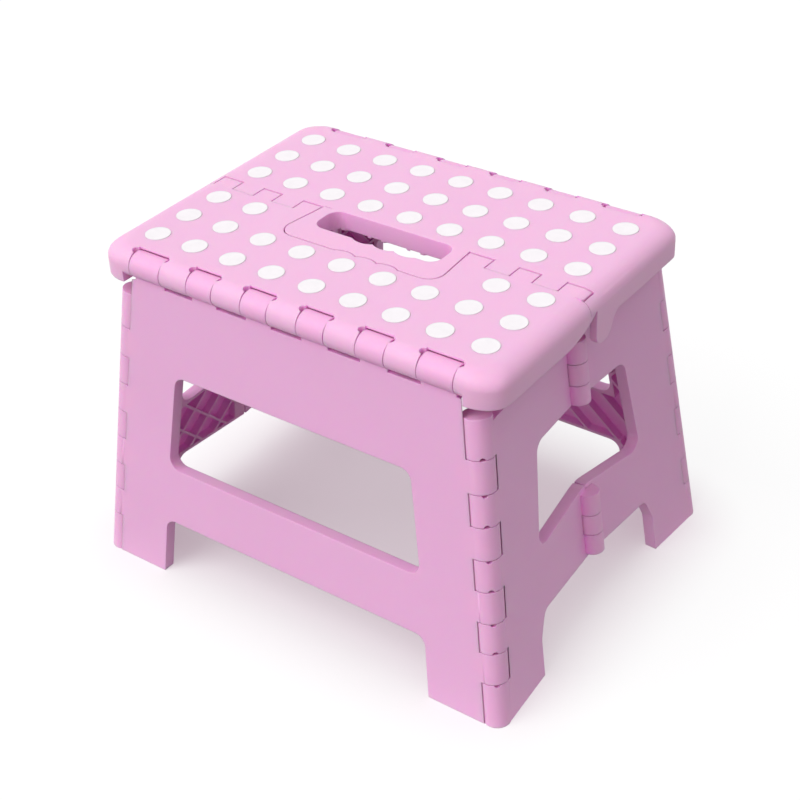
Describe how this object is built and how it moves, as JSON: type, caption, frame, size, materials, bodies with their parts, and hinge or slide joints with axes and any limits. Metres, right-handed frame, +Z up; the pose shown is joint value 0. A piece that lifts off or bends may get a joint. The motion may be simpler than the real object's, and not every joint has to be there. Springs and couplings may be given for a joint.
{
  "type": "folding stool",
  "caption": "Folding plastic step stool with a carry handle slot, round grip dots and ribbed panels that fold flat on moulded knuckle hinges.",
  "frame": {"origin": "centre of the footprint on the floor", "axes": "+X along the seat, -Y to the front half, which the handle tongue reaches over, +Z up"},
  "size_m": [0.3204, 0.2516, 0.2303],
  "materials": {
    "seat_plastic": "satin moulded polypropylene",
    "panel_plastic": "satin moulded polypropylene",
    "grip_dots": "soft matte"
  },
  "bodies": {
    "rear_leg": {"rear_leg": "panel_plastic"},
    "rear_seat": {"rear_seat": "seat_plastic", "rear_grip_dots": "grip_dots"},
    "front_seat": {"front_seat": "seat_plastic", "front_grip_dots": "grip_dots"},
    "front_leg": {"front_leg": "panel_plastic"},
    "right_front_end": {"right_front_end": "panel_plastic"},
    "left_front_end": {"left_front_end": "panel_plastic"},
    "right_rear_end": {"right_rear_end": "panel_plastic"},
    "left_rear_end": {"left_rear_end": "panel_plastic"}
  },
  "joints": [
    {"name": "centre_fold", "type": "hinge", "parent": "rear_seat", "child": "front_seat", "pos_m": [0, 0, 0.2045], "axis": [1, 0, 0], "range_deg": [0, 180]},
    {"name": "rear_knee", "type": "hinge", "parent": "rear_leg", "child": "rear_seat", "pos_m": [0, 0.09855, 0.22], "axis": [1, 0, 0], "range_deg": [-83.9, 0]},
    {"name": "front_knee", "type": "hinge", "parent": "front_seat", "child": "front_leg", "pos_m": [0, -0.09855, 0.22], "axis": [1, 0, 0], "range_deg": [-83.9, 0]},
    {"name": "right_front_corner", "type": "hinge", "parent": "front_leg", "child": "right_front_end", "pos_m": [0.13666, -0.10474, 0.115], "axis": [-0.1264, 0.1054, 0.9864], "range_deg": [0, 86.77]},
    {"name": "left_front_corner", "type": "hinge", "parent": "front_leg", "child": "left_front_end", "pos_m": [-0.13666, -0.10474, 0.115], "axis": [0.1264, 0.1054, 0.9864], "range_deg": [-86.77, 0]},
    {"name": "right_rear_corner", "type": "hinge", "parent": "rear_leg", "child": "right_rear_end", "pos_m": [0.13666, 0.10474, 0.115], "axis": [-0.1264, -0.1054, 0.9864], "range_deg": [-86.77, 0]},
    {"name": "left_rear_corner", "type": "hinge", "parent": "rear_leg", "child": "left_rear_end", "pos_m": [-0.13666, 0.10474, 0.115], "axis": [0.1264, -0.1054, 0.9864], "range_deg": [0, 86.77]}
  ],
  "couplings": [
    {"joint": "rear_knee", "follows": "centre_fold", "ratio": -0.46611},
    {"joint": "front_knee", "follows": "centre_fold", "ratio": -0.46611},
    {"joint": "right_front_corner", "follows": "centre_fold", "ratio": 0.48206},
    {"joint": "left_front_corner", "follows": "centre_fold", "ratio": -0.48206},
    {"joint": "right_rear_corner", "follows": "centre_fold", "ratio": -0.48206},
    {"joint": "left_rear_corner", "follows": "centre_fold", "ratio": 0.48206}
  ]
}
